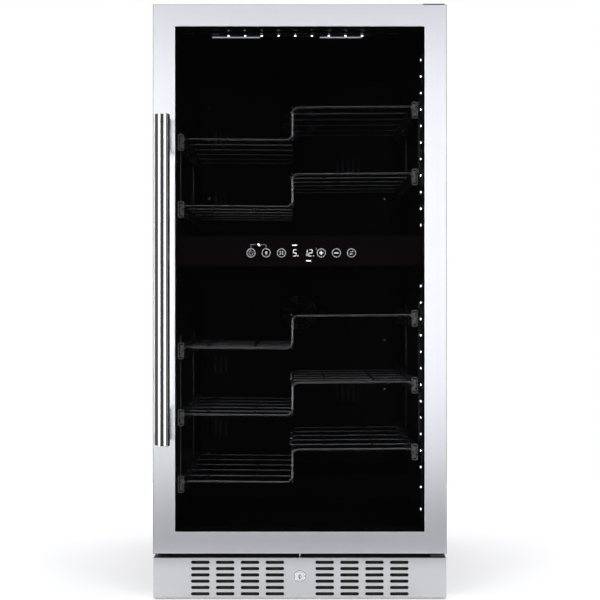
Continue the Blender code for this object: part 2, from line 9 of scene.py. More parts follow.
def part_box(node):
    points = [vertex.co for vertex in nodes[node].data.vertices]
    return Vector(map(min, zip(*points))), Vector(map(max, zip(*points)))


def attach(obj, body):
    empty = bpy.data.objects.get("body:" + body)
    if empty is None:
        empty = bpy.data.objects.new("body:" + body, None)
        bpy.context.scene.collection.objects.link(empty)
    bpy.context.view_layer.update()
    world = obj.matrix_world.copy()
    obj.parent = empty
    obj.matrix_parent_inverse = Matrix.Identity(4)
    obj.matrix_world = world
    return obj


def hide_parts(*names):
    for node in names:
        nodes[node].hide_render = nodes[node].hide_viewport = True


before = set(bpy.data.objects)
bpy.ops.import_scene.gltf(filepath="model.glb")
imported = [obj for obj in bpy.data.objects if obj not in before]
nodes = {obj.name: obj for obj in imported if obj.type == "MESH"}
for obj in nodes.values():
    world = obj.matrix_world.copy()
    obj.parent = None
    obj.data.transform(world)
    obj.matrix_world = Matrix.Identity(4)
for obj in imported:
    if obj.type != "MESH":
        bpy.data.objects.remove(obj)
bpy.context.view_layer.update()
scene = bpy.context.scene
TAU = 2 * math.pi


def span(node):
    """A node's box in millimetres: ((x0, x1), (y0, y1), (z0, z1))."""
    lo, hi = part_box(node)
    return tuple((lo[k] * 1000, hi[k] * 1000) for k in range(3))


# =====================================================================================================================
# Materials
# =====================================================================================================================
class Mat:
    """A node material with helpers; coordinates are the object's own, in metres."""

    def __init__(self, name, color=(0.5, 0.5, 0.5), rough=0.5, metal=0.0, **sockets):
        self.mat = bpy.data.materials.new(name)
        self.mat.use_nodes = True
        self.tree = self.mat.node_tree
        self.bsdf = self.tree.nodes["Principled BSDF"]
        self.set(self.bsdf, {"Base Color": (*color, 1), "Roughness": rough, "Metallic": metal, **sockets})
        self.coords = self.tree.nodes.new("ShaderNodeTexCoord")
        self.height = None

    def set(self, node, values):
        for key, value in values.items():
            node.inputs[key].default_value = value

    def link(self, a, b):
        self.tree.links.new(a, b)

    def node(self, kind, **values):
        made = self.tree.nodes.new(kind)
        for key, value in values.items():
            setattr(made, key, value)
        return made

    def mapped(self, scale):
        mapping = self.node("ShaderNodeMapping")
        mapping.inputs["Scale"].default_value = scale
        self.link(self.coords.outputs["Object"], mapping.inputs["Vector"])
        return mapping.outputs["Vector"]

    def noise(self, scale, detail=3.0, size=1.0, rough=0.5, distortion=0.0):
        tex = self.node("ShaderNodeTexNoise")
        self.set(tex, {"Scale": size, "Detail": detail, "Roughness": rough, "Distortion": distortion})
        self.link(self.mapped(scale), tex.inputs["Vector"])
        return tex.outputs["Fac"]

    def voronoi(self, scale, feature="F1"):
        tex = self.node("ShaderNodeTexVoronoi", feature=feature)
        self.set(tex, {"Scale": 1.0})
        self.link(self.mapped(scale), tex.inputs["Vector"])
        return tex.outputs["Distance"], tex.outputs["Color"] if feature == "F1" else None

    def ramp(self, value, stops, interpolation="LINEAR"):
        ramp = self.node("ShaderNodeValToRGB")
        ramp.color_ramp.interpolation = interpolation
        while len(ramp.color_ramp.elements) < len(stops):
            ramp.color_ramp.elements.new(0.5)
        for element, (at, color) in zip(ramp.color_ramp.elements, stops):
            element.position = at
            element.color = (*color, 1) if len(color) == 3 else (color[0],) * 3 + (1,)
        self.link(value, ramp.inputs["Fac"])
        return ramp.outputs["Color"]

    def remap(self, value, low, high, from_low=0.3, from_high=0.7):
        made = self.node("ShaderNodeMapRange")
        self.set(made, {"From Min": from_low, "From Max": from_high, "To Min": low, "To Max": high})
        self.link(value, made.inputs["Value"])
        return made.outputs["Result"]

    def add(self, a, b, kind="ADD"):
        made = self.node("ShaderNodeMath", operation=kind)
        self.link(a, made.inputs[0])
        if isinstance(b, (int, float)):
            made.inputs[1].default_value = b
        else:
            self.link(b, made.inputs[1])
        return made.outputs[0]

    def color(self, output):
        self.link(output, self.bsdf.inputs["Base Color"])

    def rough(self, output):
        self.link(output, self.bsdf.inputs["Roughness"])

    def bump(self, output, strength, distance):
        made = self.node("ShaderNodeBump")
        self.set(made, {"Strength": strength, "Distance": distance})
        self.link(output, made.inputs["Height"])
        if self.height is not None:
            self.link(self.height, made.inputs["Normal"])
        self.height = made.outputs["Normal"]
        self.link(self.height, self.bsdf.inputs["Normal"])

    def tangent(self):
        made = self.node("ShaderNodeTangent", direction_type="UV_MAP")
        made.uv_map = "UVMap"
        self.link(made.outputs["Tangent"], self.bsdf.inputs["Tangent"])


def brushed(name, along, color=(0.80, 0.80, 0.825), rough=0.335, anisotropic=1.0, streak=0.014):
    """Brushed stainless steel whose grain runs along axis `along` (0 x, 2 z)."""
    m = Mat(name, color, rough, 1.0, Anisotropic=anisotropic)
    fine, broad = [2600.0] * 3, [130.0] * 3
    fine[along], broad[along] = 28.0, 1.6
    grain = m.noise(fine, 4, rough=0.65)
    bands = m.noise(broad, 3)
    mixed = m.add(m.add(grain, 0.6, "MULTIPLY"), m.add(bands, 0.4, "MULTIPLY"))
    dark = tuple(c * (1 - 2 * streak) for c in color)
    light = tuple(min(1.0, c * (1 + 2 * streak)) for c in color)
    m.color(m.ramp(mixed, [(0.3, dark), (0.7, light)]))
    m.rough(m.remap(grain, rough - 0.035, rough + 0.035))
    m.bump(grain, 0.10, 0.00005)
    m.tangent()
    return m.mat


def powder_coat(name, color, rough=0.42):
    m = Mat(name, color, rough, 0.0, **{"Specular IOR Level": 0.45})
    grain = m.noise([900.0] * 3, 3, rough=0.6)
    patch = m.noise([9.0] * 3, 2)
    m.color(m.ramp(patch, [(0.3, tuple(c * 0.82 for c in color)), (0.7, tuple(c * 1.2 for c in color))]))
    m.rough(m.remap(patch, rough - 0.05, rough + 0.06))
    m.bump(grain, 0.35, 0.0001)
    return m.mat


def moulded(name, color, rough=0.38, grain_scale=1400.0, strength=0.25):
    m = Mat(name, color, rough, 0.0)
    grain = m.voronoi([grain_scale] * 3)[0]
    flow = m.noise([6.0, 6.0, 3.0], 3, distortion=0.4)
    m.color(m.ramp(flow, [(0.3, tuple(c * 0.85 for c in color)), (0.7, tuple(c * 1.18 for c in color))]))
    m.rough(m.remap(flow, rough - 0.05, rough + 0.06))
    m.bump(grain, strength, 0.00008)
    return m.mat


def zinc(name, color=(0.56, 0.57, 0.58), rough=0.34, metallic=1.0):
    m = Mat(name, color, rough, metallic)
    distance, cell = m.voronoi([75.0, 75.0, 75.0])
    grey = m.node("ShaderNodeRGBToBW")
    m.link(cell, grey.inputs["Color"])
    m.color(m.ramp(grey.outputs["Val"], [(0.1, tuple(c * 0.92 for c in color)), (0.9, tuple(c * 1.06 for c in color))]))
    m.rough(m.remap(grey.outputs["Val"], rough - 0.03, rough + 0.04, 0.1, 0.9))
    m.bump(m.noise([420.0] * 3, 2), 0.12, 0.00008)
    return m.mat


def chromed(name, color=(0.66, 0.67, 0.69), rough=0.13):
    m = Mat(name, color, rough, 1.0)
    haze = m.noise([60.0] * 3, 3)
    m.color(m.ramp(haze, [(0.3, tuple(c * 0.93 for c in color)), (0.7, tuple(min(1, c * 1.05) for c in color))]))
    m.rough(m.remap(haze, rough - 0.03, rough + 0.05))
    m.bump(m.noise([700.0] * 3, 2), 0.05, 0.00005)
    return m.mat


def glowing(name, color, strength, base=(0.8, 0.82, 0.85), rough=0.3):
    m = Mat(name, base, rough, 0.0, **{"Emission Color": (*color, 1), "Emission Strength": strength})
    cell = m.noise([800.0] * 3, 2)
    m.rough(m.remap(cell, rough - 0.05, rough + 0.08))
    m.color(m.ramp(cell, [(0.3, tuple(c * 0.92 for c in base)), (0.7, base)]))
    return m.mat


def pane(name, color, alpha, rough=0.02, spec=0.5):
    m = Mat(name, color, rough, 0.0, Alpha=alpha, **{"Specular IOR Level": spec})
    smear = m.noise([3.0, 3.0, 2.0], 2)
    m.rough(m.remap(smear, rough, rough + 0.03))
    return m.mat


STILE = brushed("brushed_steel_upright", 2, (0.82, 0.825, 0.87))
RAIL = brushed("brushed_steel_level", 0, (0.82, 0.825, 0.87))
# Near-black copy of the frame steel for the door's outer rounded edge: painted shade along the edge.
SHADED_EDGE_STEEL = brushed("brushed_steel_painted_shade_edge", 2, (0.045, 0.045, 0.048), 0.36, 0.5)
PLINTH = brushed("brushed_steel_plinth", 0, (0.62, 0.625, 0.64))
BAR = brushed("brushed_steel_bar", 2, (0.80, 0.80, 0.82), 0.10, 0.3, 0.012)
FOOT = brushed("brushed_steel_foot", 2, (0.80, 0.80, 0.82), 0.22, 0.3)
SHELL = powder_coat("black_powder_coat", (0.028, 0.028, 0.030))
HINGE = powder_coat("hinge_black", (0.035, 0.035, 0.037), 0.34)
COMPRESSOR = powder_coat("compressor_black", (0.018, 0.018, 0.02), 0.3)
ABS = moulded("black_abs", (0.010, 0.010, 0.011))
LINER = moulded("liner_black", (0.0075, 0.0075, 0.0085), 0.34, 900.0, 0.12)
DUCT = moulded("duct_black", (0.010, 0.0105, 0.011), 0.42, 1100.0, 0.3)
GREY = moulded("grey_fan_plastic", (0.30, 0.30, 0.31), 0.42)
ZINC = zinc("zinc_plate")
RAIL_ZINC = zinc("rail_zinc", (0.66, 0.67, 0.68), 0.26)
# Lighter, less metallic copy of the rail zinc for the rail lips and runner brackets: painted highlight on the rail
# fronts.
RAIL_END_HIGHLIT = zinc("rail_end_zinc_painted_highlight", (0.88, 0.89, 0.88), 0.42, 0.35)
CHROME = chromed("shelf_chrome", (0.78, 0.79, 0.81), 0.16)
BRIGHT = chromed("bright_chrome", (0.86, 0.86, 0.87), 0.10)
PLUG = zinc("lock_face", (0.82, 0.82, 0.83), 0.4, 0.35)
COPPER = chromed("copper_pipe", (0.72, 0.38, 0.24), 0.25)
FIN = zinc("aluminium_fin", (0.76, 0.77, 0.78), 0.38)
SYMBOL = glowing("symbol_white", (0.86, 0.88, 0.93), 1.6)
DIGIT = glowing("digit_white", (0.93, 0.95, 1.0), 3.0)
MARK = glowing("indicator_white", (1.0, 1.0, 1.0), 3.6)
FAINT = glowing("symbol_faint", (0.55, 0.55, 0.58), 0.9, (0.4, 0.4, 0.42))
LED = glowing("led_white", (0.90, 0.94, 1.0), 9.0)
LED_BAR = glowing("led_lens_strip", (0.88, 0.90, 1.0), 0.75)
LED_HOUSING = moulded("led_housing", (0.05, 0.05, 0.055), 0.3)
OUTER_GLASS = pane("tinted_glass", (0.001, 0.001, 0.0015), 0.32, 0.01, 0.25)
INNER_GLASS = pane("clear_glass", (0.001, 0.001, 0.001), 0.07, 0.02, 0.25)

rubber = Mat("gasket_rubber", (0.014, 0.014, 0.015), 0.62)
rubber.bump(rubber.noise([500.0] * 3, 3), 0.3, 0.0001)
rubber.color(rubber.ramp(rubber.noise([14.0] * 3, 3), [(0.3, (0.010, 0.010, 0.011)), (0.7, (0.020, 0.020, 0.021))]))
RUBBER = rubber.mat
frit = Mat("black_glass_print", (0.004, 0.004, 0.005), 0.25)
frit.rough(frit.remap(frit.noise([300.0] * 3, 2), 0.2, 0.32))
FRIT = frit.mat
# The control glass carries a faint reddish emission although it is no lamp: a painted glow.
panel = Mat("control_glass", (0.0045, 0.0032, 0.0032), 0.12, 0.0, **{"Emission Color": (0.05, 0.032, 0.032, 1), "Emission Strength": 0.10})
panel.rough(panel.remap(panel.noise([5.0, 5.0, 30.0], 2), 0.09, 0.16))
panel.color(panel.ramp(panel.noise([4.0, 4.0, 20.0], 2), [(0.3, (0.0040, 0.0028, 0.0028)), (0.7, (0.0055, 0.0038, 0.0038))]))
PANEL_PAINTED_GLOW = panel.mat
board = Mat("circuit_board", (0.03, 0.14, 0.07), 0.4)
board.color(board.ramp(board.voronoi([160.0] * 3)[0], [(0.05, (0.02, 0.09, 0.05)), (0.2, (0.04, 0.17, 0.08))]))
PCB = board.mat
foam = Mat("pu_foam", (0.0160, 0.0160, 0.0170), 0.9)
foam.color(foam.ramp(foam.noise([160.0] * 3, 5), [(0.3, (0.0160, 0.0160, 0.0170)), (0.7, (0.0160, 0.0160, 0.0170))]))
foam.bump(foam.noise([220.0] * 3, 4), 0.6, 0.001)
FOAM = foam.mat


# =====================================================================================================================
# Mesh helpers (mm)
# =====================================================================================================================
def finish_mesh(name, bm, mat, body, replaces=(), smooth=30.0, bevel=0.0, segments=2, uv=True, flat=True):
    bmesh.ops.remove_doubles(bm, verts=bm.verts, dist=1e-4)
    bmesh.ops.recalc_face_normals(bm, faces=bm.faces)
    bmesh.ops.scale(bm, vec=(0.001,) * 3, verts=bm.verts)
    mesh = bpy.data.meshes.new(name)
    bm.to_mesh(mesh)
    bm.free()
    obj = bpy.data.objects.new(name, mesh)
    scene.collection.objects.link(obj)
    mesh.materials.append(mat)
    if smooth:
        mesh.shade_smooth()
        mesh.set_sharp_from_angle(angle=math.radians(smooth))
    if bevel:
        modifier = obj.modifiers.new("bevel", "BEVEL")
        modifier.width = bevel * 0.001
        modifier.segments = segments
        modifier.limit_method = "ANGLE"
        modifier.angle_limit = math.radians(35)
        modifier.harden_normals = False
        modifier.use_clamp_overlap = True
    if smooth and flat:
        weighted = obj.modifiers.new("normals", "WEIGHTED_NORMAL")
        weighted.keep_sharp = True
        weighted.weight = 80
    if uv:
        box_uv(mesh)
    if body:
        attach(obj, body)
        if replaces:
            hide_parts(*([replaces] if isinstance(replaces, str) else replaces))
    return obj


def box_uv(mesh):
    """UVs from the two axes a face looks least along; U runs level, so the tangent does too."""
    layer = mesh.uv_layers.new(name="UVMap") if "UVMap" not in mesh.uv_layers else mesh.uv_layers["UVMap"]
    for face in mesh.polygons:
        n = face.normal
        axis = max(range(3), key=lambda k: abs(n[k]))
        u, v = ((1, 2), (0, 2), (0, 1))[axis]
        for loop in face.loop_indices:
            co = mesh.vertices[mesh.loops[loop].vertex_index].co
            layer.data[loop].uv = (co[u], co[v])


def put_box(bm, x, y, z):
    made = bmesh.ops.create_cube(bm, size=1.0)["verts"]
    for v in made:
        v.co = Vector((x[0] if v.co.x < 0 else x[1], y[0] if v.co.y < 0 else y[1], z[0] if v.co.z < 0 else z[1]))
    return made


TURN = {"Z": Matrix(), "X": Matrix.Rotation(math.pi / 2, 4, "Y"), "Y": Matrix.Rotation(-math.pi / 2, 4, "X"),
        "-Y": Matrix.Rotation(math.pi / 2, 4, "X")}


def put_cylinder(bm, centre, radius, length, axis="Z", segments=32, radius2=None):
    return bmesh.ops.create_cone(
        bm, cap_ends=True, cap_tris=False, segments=segments, radius1=radius,
        radius2=radius if radius2 is None else radius2, depth=length, matrix=Matrix.Translation(centre) @ TURN[axis],
    )["verts"]


def put_lathe(bm, profile, centre, axis="Z", segments=48):
    """Turns (radius, along) points; the first and last lie on the axis, or the profile is a closed ring."""
    start = len(bm.verts)
    closed = profile[0][0] != 0
    rings = []
    for r, h in profile:
        if r == 0:
            rings.append([bm.verts.new((0, 0, h))])
        else:
            rings.append([bm.verts.new((r * math.cos(TAU * i / segments), r * math.sin(TAU * i / segments), h)) for i in range(segments)])
    pairs = list(zip(rings, rings[1:])) + ([(rings[-1], rings[0])] if closed else [])
    for a, b in pairs:
        for i in range(segments):
            j = (i + 1) % segments
            if len(a) == 1:
                bm.faces.new((a[0], b[i], b[j]))
            elif len(b) == 1:
                bm.faces.new((a[i], b[0], a[j]))
            else:
                bm.faces.new((a[i], b[i], b[j], a[j]))
    bm.verts.ensure_lookup_table()
    new = bm.verts[start:]
    bmesh.ops.transform(bm, matrix=Matrix.Translation(centre) @ TURN[axis], verts=new)
    return new


def fillet(points, radius, steps=6):
    """A polyline with its inner corners rounded."""
    points = [Vector(p) for p in points]
    out = [points[0]]
    for a, b, c in zip(points, points[1:], points[2:]):
        u, w = (a - b), (c - b)
        turn = math.pi - u.angle(w)
        if turn < 0.02:
            out.append(b)
            continue
        back = min(radius * math.tan(turn / 2), u.length * 0.49, w.length * 0.49)
        start, end = b + u.normalized() * back, b + w.normalized() * back
        for i in range(steps + 1):
            t = i / steps
            out.append(start * (1 - t) ** 2 + b * 2 * t * (1 - t) + end * t * t)
    out.append(points[-1])
    return out


def put_tube(bm, points, radius, segments=10, closed=False):
    """A round bar along a polyline, with its ends capped."""
    points = [Vector(p) for p in points]
    count = len(points)
    tangents = []
    for i in range(count):
        a = points[(i - 1) % count] if closed or i else points[0]
        b = points[(i + 1) % count] if closed or i < count - 1 else points[-1]
        tangents.append((b - a).normalized())
    normal = tangents[0].orthogonal().normalized()
    rings = []
    for i, (p, t) in enumerate(zip(points, tangents)):
        if i:
            normal = (tangents[i - 1].rotation_difference(t) @ normal)
        normal = (normal - t * normal.dot(t)).normalized()
        side = t.cross(normal)
        rings.append([bm.verts.new(p + (normal * math.cos(TAU * k / segments) + side * math.sin(TAU * k / segments)) * radius) for k in range(segments)])
    pairs = list(zip(rings, rings[1:])) + ([(rings[-1], rings[0])] if closed else [])
    for a, b in pairs:
        for k in range(segments):
            j = (k + 1) % segments
            bm.faces.new((a[k], a[j], b[j], b[k]))
    if not closed:
        bm.faces.new(rings[0][::-1])
        bm.faces.new(rings[-1])


def put_prism_y(bm, outline, y):
    """Extrudes a closed XZ outline from y[0] to y[1]."""
    front = [bm.verts.new((px, y[0], pz)) for px, pz in outline]
    back = [bm.verts.new((px, y[1], pz)) for px, pz in outline]
    bm.faces.new(front)
    bm.faces.new(back[::-1])
    n = len(outline)
    for i in range(n):
        bm.faces.new((front[i], back[i], back[(i + 1) % n], front[(i + 1) % n]))


def obround(x, z, width, height, steps=10):
    r, out = height / 2, []
    for side, start in ((1, -90), (-1, 90)):
        for i in range(steps + 1):
            a = math.radians(start + 180 * i / steps)
            out.append((x + side * (width / 2 - r) + r * math.cos(a), z + r * math.sin(a)))
    return out


def rounded(x, z, radius, steps=5):
    """A rectangle's outline in XZ with round corners."""
    out = []
    for cx, cz, start in ((x[1] - radius, z[0] + radius, -90), (x[1] - radius, z[1] - radius, 0), (x[0] + radius, z[1] - radius, 90), (x[0] + radius, z[0] + radius, 180)):
        for i in range(steps + 1):
            a = math.radians(start + 90 * i / steps)
            out.append((cx + radius * math.cos(a), cz + radius * math.sin(a)))
    return out


def helper(name, bm):
    bmesh.ops.recalc_face_normals(bm, faces=bm.faces)
    bmesh.ops.scale(bm, vec=(0.001,) * 3, verts=bm.verts)
    mesh = bpy.data.meshes.new(name)
    bm.to_mesh(mesh)
    bm.free()
    obj = bpy.data.objects.new(name, mesh)
    scene.collection.objects.link(obj)
    return obj


def carve(obj, bm, operation="DIFFERENCE"):
    """Applies an exact Boolean with the shape in bm, then removes the cutter."""
    cutter = helper("cutter", bm)
    stack = [(m.name, m.type) for m in obj.modifiers]
    modifier = obj.modifiers.new("carve", "BOOLEAN")
    modifier.operation, modifier.solver, modifier.object = operation, "EXACT", cutter
    while obj.modifiers[0] != modifier:
        obj.modifiers.move(len(obj.modifiers) - 1, 0)
        break
    others = [m for m in obj.modifiers if m != modifier]
    shown = [(m, m.show_viewport) for m in others]
    for m in others:
        m.show_viewport = False
    graph = bpy.context.evaluated_depsgraph_get()
    mesh = bpy.data.meshes.new_from_object(obj.evaluated_get(graph), depsgraph=graph)
    for m, state in shown:
        m.show_viewport = state
    obj.modifiers.remove(modifier)
    old = obj.data
    mesh.name = old.name
    obj.data = mesh
    bpy.data.objects.remove(cutter, do_unlink=True)
    mesh.shade_smooth()
    mesh.set_sharp_from_angle(angle=math.radians(30))
    return obj


def dress(name, mat, bevel=0.6, segments=2, smooth=30.0, slot=None):
    """Gives a CAD node its finish and, through modifiers only, soft edges."""
    obj = nodes[name]
    mesh = obj.data
    mesh.materials.clear()
    mesh.materials.append(mat)
    for attribute in [a.name for a in mesh.attributes if a.name == "custom_normal"]:
        mesh.attributes.remove(mesh.attributes[attribute])
    mesh.shade_smooth()
    weld = obj.modifiers.new("weld", "WELD")
    weld.merge_threshold = 0.00001
    planar = obj.modifiers.new("planar", "DECIMATE")
    planar.decimate_type = "DISSOLVE"
    planar.angle_limit = math.radians(0.5)
    if bevel:
        modifier = obj.modifiers.new("bevel", "BEVEL")
        modifier.width = bevel * 0.001
        modifier.segments = segments
        modifier.limit_method = "ANGLE"
        modifier.angle_limit = math.radians(smooth)
        modifier.use_clamp_overlap = True
    weighted = obj.modifiers.new("normals", "WEIGHTED_NORMAL")
    weighted.keep_sharp = False
    box_uv(mesh)
    return obj


# =====================================================================================================================
# Door: mitred stainless frame, double glazing, gasket, handle
# =====================================================================================================================
(DX0, DX1), (DY0, DY1), (DZ0, DZ1) = span("door_frame")
WALL = 44.75           # width of the rails round the window


def face_profile():
    """(distance in from the door's edge, y) of the sheet: outside first, then back along the inside."""
    outer = [(0.0, DY1), (0.0, DY0 + 1.6)]
    for i in range(1, 6):
        a = math.radians(90 * i / 5)
        outer.append((1.6 - 1.6 * math.cos(a), DY0 + 1.6 - 1.6 * math.sin(a)))
    for i in range(0, 6):
        a = math.radians(90 * i / 5)
        outer.append((WALL - 1.1 + 1.1 * math.sin(a), DY0 + 1.1 - 1.1 * math.cos(a)))
    inner = [(WALL, DY0 + 2.0), (1.5, DY0 + 2.0), (1.5, DY1)]
    return outer + inner


def frame_side(name, side, mat):
    bm = bmesh.new()
    gap = 0.05
    ends = []
    for end in (0, 1):
        ring = []
        for d, y in face_profile():
            if side in ("top", "bottom"):
                x = (DX0 + d + gap) if end == 0 else (DX1 - d - gap)
                z = DZ1 - d if side == "top" else DZ0 + d
            else:
                z = (DZ0 + d + gap) if end == 0 else (DZ1 - d - gap)
                x = DX0 + d if side == "left" else DX1 - d
            ring.append(bm.verts.new((x, y, z)))
        ends.append(ring)
    n = len(ends[0])
    for i in range(n):
        bm.faces.new((ends[0][i], ends[0][(i + 1) % n], ends[1][(i + 1) % n], ends[1][i]))
    bm.faces.new(ends[0])
    bm.faces.new(ends[1])
    obj = finish_mesh(name, bm, mat, "door", "door_frame", smooth=40)
    # Faces on the outer rounded edge that look forward and outward get the near-black steel: painted shade along the
    # door's edge.
    obj.data.materials.append(SHADED_EDGE_STEEL)
    for face in obj.data.polygons:
        n = face.normal
        out = {"left": -n.x, "right": n.x, "top": n.z, "bottom": -n.z}[side]
        if n.y < 0 and out > 0.3:
            face.material_index = 1
    return obj


HX, HY = 279.0, -235.75
top_side = frame_side("door_frame_top", "top", RAIL)
bottom_side = frame_side("door_frame_bottom", "bottom", RAIL)
frame_side("door_frame_left", "left", STILE)
frame_side("door_frame_right", "right", STILE)
bm = bmesh.new()
put_cylinder(bm, (HX, HY, DZ1), 4.6, 12, "Z", 32)
carve(top_side, bm)
bm = bmesh.new()
put_cylinder(bm, (HX, HY, DZ0), 4.6, 12, "Z", 32)
put_cylinder(bm, (0, -243, DZ0), 3.6, 12, "Z", 32)
carve(bottom_side, bm)

dress("door_inner_frame", ABS, 0.8)
dress("outer_glass", OUTER_GLASS, 0)
dress("inner_glass", INNER_GLASS, 0)
dress("glass_spacer", zinc("spacer_aluminium", (0.20, 0.20, 0.21), 0.4), 0.3)

# Printed black border on the back of the outer pane.
(gx0, gx1), (gy0, gy1), (gz0, gz1) = span("outer_glass")
bm = bmesh.new()
outer, inner = rounded((gx0 + 0.5, gx1 - 0.5), (gz0 + 0.5, gz1 - 0.5), 3), rounded((DX0 + WALL + 3.0, DX1 - WALL - 3.0), (DZ0 + WALL + 4.5, DZ1 - WALL - 3.0), 2)
rings = [[bm.verts.new((x, y, z)) for x, z in o] for o, y in ((outer, gy1 + 0.05), (inner, gy1 + 0.05), (inner, gy1 + 0.2), (outer, gy1 + 0.2))]
count = len(outer)
for a, b in zip(rings, rings[1:] + rings[:1]):
    for i in range(count):
        bm.faces.new((a[i], a[(i + 1) % count], b[(i + 1) % count], b[i]))
finish_mesh("glass_border_print", bm, FRIT, "door", ())

# Bellows gasket, mitred at its corners.
(qx0, qx1), (qy0, qy1), (qz0, qz1) = span("door_gasket")
bm = bmesh.new()
ribs = [(0.0, qy0 + 2.2), (0.0, qy0 + 0.6), (0.6, qy0), (15.4, qy0), (16.0, qy0 + 0.6), (16.0, qy0 + 2.0), (14.2, qy0 + 2.6), (14.2, qy0 + 3.2), (16.0, qy0 + 3.9),
        (16.0, qy1 - 1.2), (15.0, qy1), (12.4, qy1), (11.6, qy1 - 0.7), (9.6, qy1 - 0.7), (8.8, qy1), (6.4, qy1), (5.6, qy1 - 0.7), (3.8, qy1 - 0.7), (3.0, qy1), (1.0, qy1),
        (0.0, qy1 - 1.0), (0.0, qy0 + 4.2), (1.8, qy0 + 3.4), (1.8, qy0 + 2.8)]
corners = []
for cx, cz in ((-1, -1), (1, -1), (1, 1), (-1, 1)):
    ring = []
    for d, y in ribs:
        ring.append(bm.verts.new((qx0 + d if cx < 0 else qx1 - d, y, qz0 + d if cz < 0 else qz1 - d)))
    corners.append(ring)
for a, b in zip(corners, corners[1:] + corners[:1]):
    for i in range(len(ribs)):
        j = (i + 1) % len(ribs)
        bm.faces.new((a[i], a[j], b[j], b[i]))
finish_mesh("door_gasket_bellows", bm, RUBBER, "door", "door_gasket", smooth=50)

# Handle: turned bar with soft ends on two rounded feet.
(hx0, hx1), (hy0, hy1), (hz0, hz1) = span("handle_bar")
HBX, HBY, HR = (hx0 + hx1) / 2, (hy0 + hy1) / 2, (hx1 - hx0) / 2
half = (hz1 - hz0) / 2
profile = [(0, -half), (HR - 3.0, -half)]
profile += [(HR - 3.0 + 3.0 * math.sin(math.radians(18 * i)), -half + 3.0 - 3.0 * math.cos(math.radians(18 * i))) for i in range(1, 6)]
profile += [(HR, -half + 40), (HR, half - 40)]
profile += [(HR - 3.0 + 3.0 * math.cos(math.radians(18 * i)), half - 3.0 + 3.0 * math.sin(math.radians(18 * i))) for i in range(0, 5)]
profile += [(HR - 3.0, half), (0, half)]
bm = bmesh.new()
put_lathe(bm, profile, (HBX, HBY, (hz0 + hz1) / 2), "Z", 96)
bar = finish_mesh("handle_bar_turned", bm, BAR, "door", "handle_bar", smooth=40)
for name in ("handle_foot_lower", "handle_foot_upper"):
    (fx0, fx1), (fy0, fy1), (fz0, fz1) = span(name)
    bm = bmesh.new()
    outline = rounded((fx0, fx1), (fz0, fz1), 7.0, 8)
    put_prism_y(bm, outline, (HBY + 4.0, fy1))
    foot = finish_mesh(name + "_post", bm, FOOT, "door", name, smooth=30)
    bm = bmesh.new()
    put_cylinder(bm, (HBX, HBY, (fz0 + fz1) / 2), HR + 0.15, 120, "Z", 96)
    carve(foot, bm)

# =====================================================================================================================
# Plinth grille and lock
# =====================================================================================================================
(kx0, kx1), (ky0, ky1), (kz0, kz1) = span("kick_plate")
bm = bmesh.new()
r = 1.6
corner = [(kx0 + r - r * math.cos(math.radians(15 * i)), ky0 + r - r * math.sin(math.radians(15 * i))) for i in range(7)]
outline = [(kx0, ky1)] + corner + [(-x, y) for x, y in reversed(corner)] + [(kx1, ky1), (kx1 - 1.5, ky1), (kx1 - 1.5, ky0 + 1.5), (kx0 + 1.5, ky0 + 1.5), (kx0 + 1.5, ky1)]
lowp = [bm.verts.new((x, y, kz0)) for x, y in outline]
highp = [bm.verts.new((x, y, kz1)) for x, y in outline]
bm.faces.new(lowp)
bm.faces.new(highp[::-1])
for i in range(len(outline)):
    j = (i + 1) % len(outline)
    bm.faces.new((lowp[i], lowp[j], highp[j], highp[i]))
plinth = finish_mesh("plinth_grille", bm, PLINTH, "cabinet", "kick_plate", smooth=30)
bm = bmesh.new()
for row in range(6):
    for column in range(4):
        for side in (-1, 1):
            put_prism_y(bm, obround(side * (50.5 + 50.3 * column), 75.0 - 12.74 * row, 37.7, 6.4), (ky0 - 4, ky0 + 6))
put_cylinder(bm, (0, ky0, 47.0), 10.1, 12, "Y", 48)
carve(plinth, bm)
modifier = plinth.modifiers.new("bevel", "BEVEL")
modifier.width, modifier.segments, modifier.limit_method, modifier.angle_limit = 0.00035, 2, "ANGLE", math.radians(50)
box_uv(plinth.data)
bm = bmesh.new()
put_box(bm, (kx0 + 1.7, kx1 - 1.7), (ky0 + 1.6, -232), (kz1 - 1.5, kz1 - 0.1))
flange = finish_mesh("plinth_top_flange", bm, HINGE, "cabinet", "kick_plate")
bm = bmesh.new()
put_cylinder(bm, (0, -243, kz1), 4.0, 8, "Z", 32)
carve(flange, bm)
# Dark mesh filter close behind the slots.
bm = bmesh.new()
for side in (-1, 1):
    put_box(bm, (min(side * 28, side * 224), max(side * 28, side * 224)), (ky0 + 9, ky0 + 10), (kz0 + 2, kz1 - 4))
filt = Mat("grille_filter", (0.006, 0.006, 0.007), 0.8)
filt.bump(filt.voronoi([500.0] * 3)[0], 0.8, 0.0006)
filt.color(filt.ramp(filt.voronoi([500.0] * 3)[0], [(0.0, (0.003, 0.003, 0.003)), (0.8, (0.010, 0.010, 0.011))]))
finish_mesh("grille_dust_filter", bm, filt.mat, "cabinet", ())

